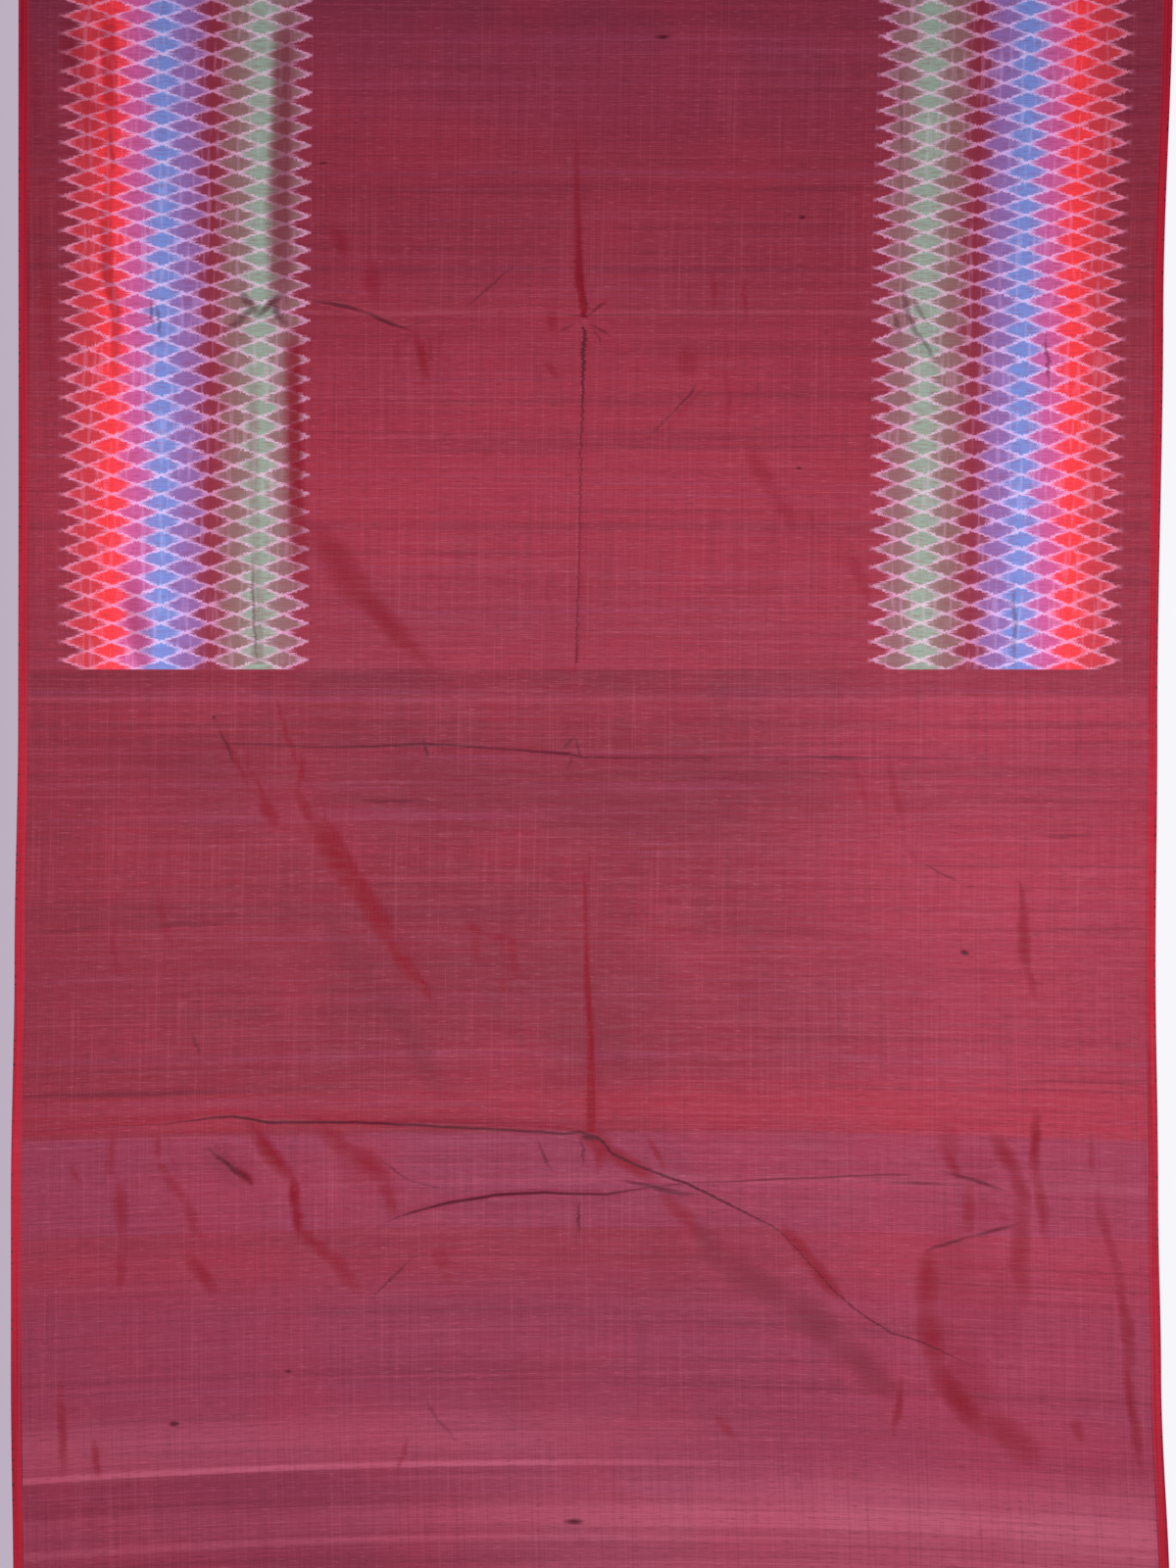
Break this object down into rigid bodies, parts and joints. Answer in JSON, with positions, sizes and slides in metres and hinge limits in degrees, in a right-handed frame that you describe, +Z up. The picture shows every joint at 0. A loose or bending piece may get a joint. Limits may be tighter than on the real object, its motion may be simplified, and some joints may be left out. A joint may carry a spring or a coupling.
{
  "type": "silk saree",
  "caption": "Length of shot silk saree with ikat lozenge borders and a plain blouse end, folded in layers and held up by its top edge.",
  "frame": {"origin": "the middle of the held top edge, on the crest of the front layer's fold", "axes": "+Z up along the hanging length, +X across the cloth to the viewer's right, +Y away from the viewer, towards the rear layers"},
  "size_m": [1.186, 0.0754, 1.6661],
  "materials": {
    "shot_silk": "crimson silk shot with mauve grey, fine weft slubs, soft sheen",
    "blouse_silk": "plain crimson shot silk with weft bands, soft sheen",
    "ikat_border": "ikat lozenges in red, pink, blue, violet, maroon, green and taupe with feathered pale lines",
    "selvedge_silk": "dense bright crimson selvedge with weft loops at its edge",
    "pallu_silk": "crimson shot silk with plain weft stripes"
  },
  "bodies": {
    "root": {"front_blouse_piece": "blouse_silk", "front_blouse_selvedge_left": "selvedge_silk", "front_blouse_selvedge_right": "selvedge_silk", "front_body_field": "shot_silk", "front_border_left": "ikat_border", "front_border_right": "ikat_border", "front_body_selvedge_left": "selvedge_silk", "front_body_selvedge_right": "selvedge_silk", "top_fold_front": "shot_silk", "second_layer": "shot_silk", "bottom_fold": "shot_silk", "third_layer": "shot_silk", "top_fold_back": "shot_silk", "back_body_field": "shot_silk", "back_border_left": "ikat_border", "back_border_right": "ikat_border", "back_body_selvedge_left": "selvedge_silk", "back_body_selvedge_right": "selvedge_silk", "back_pallu": "pallu_silk", "back_pallu_selvedge_left": "selvedge_silk", "back_pallu_selvedge_right": "selvedge_silk"}
  },
  "joints": []
}
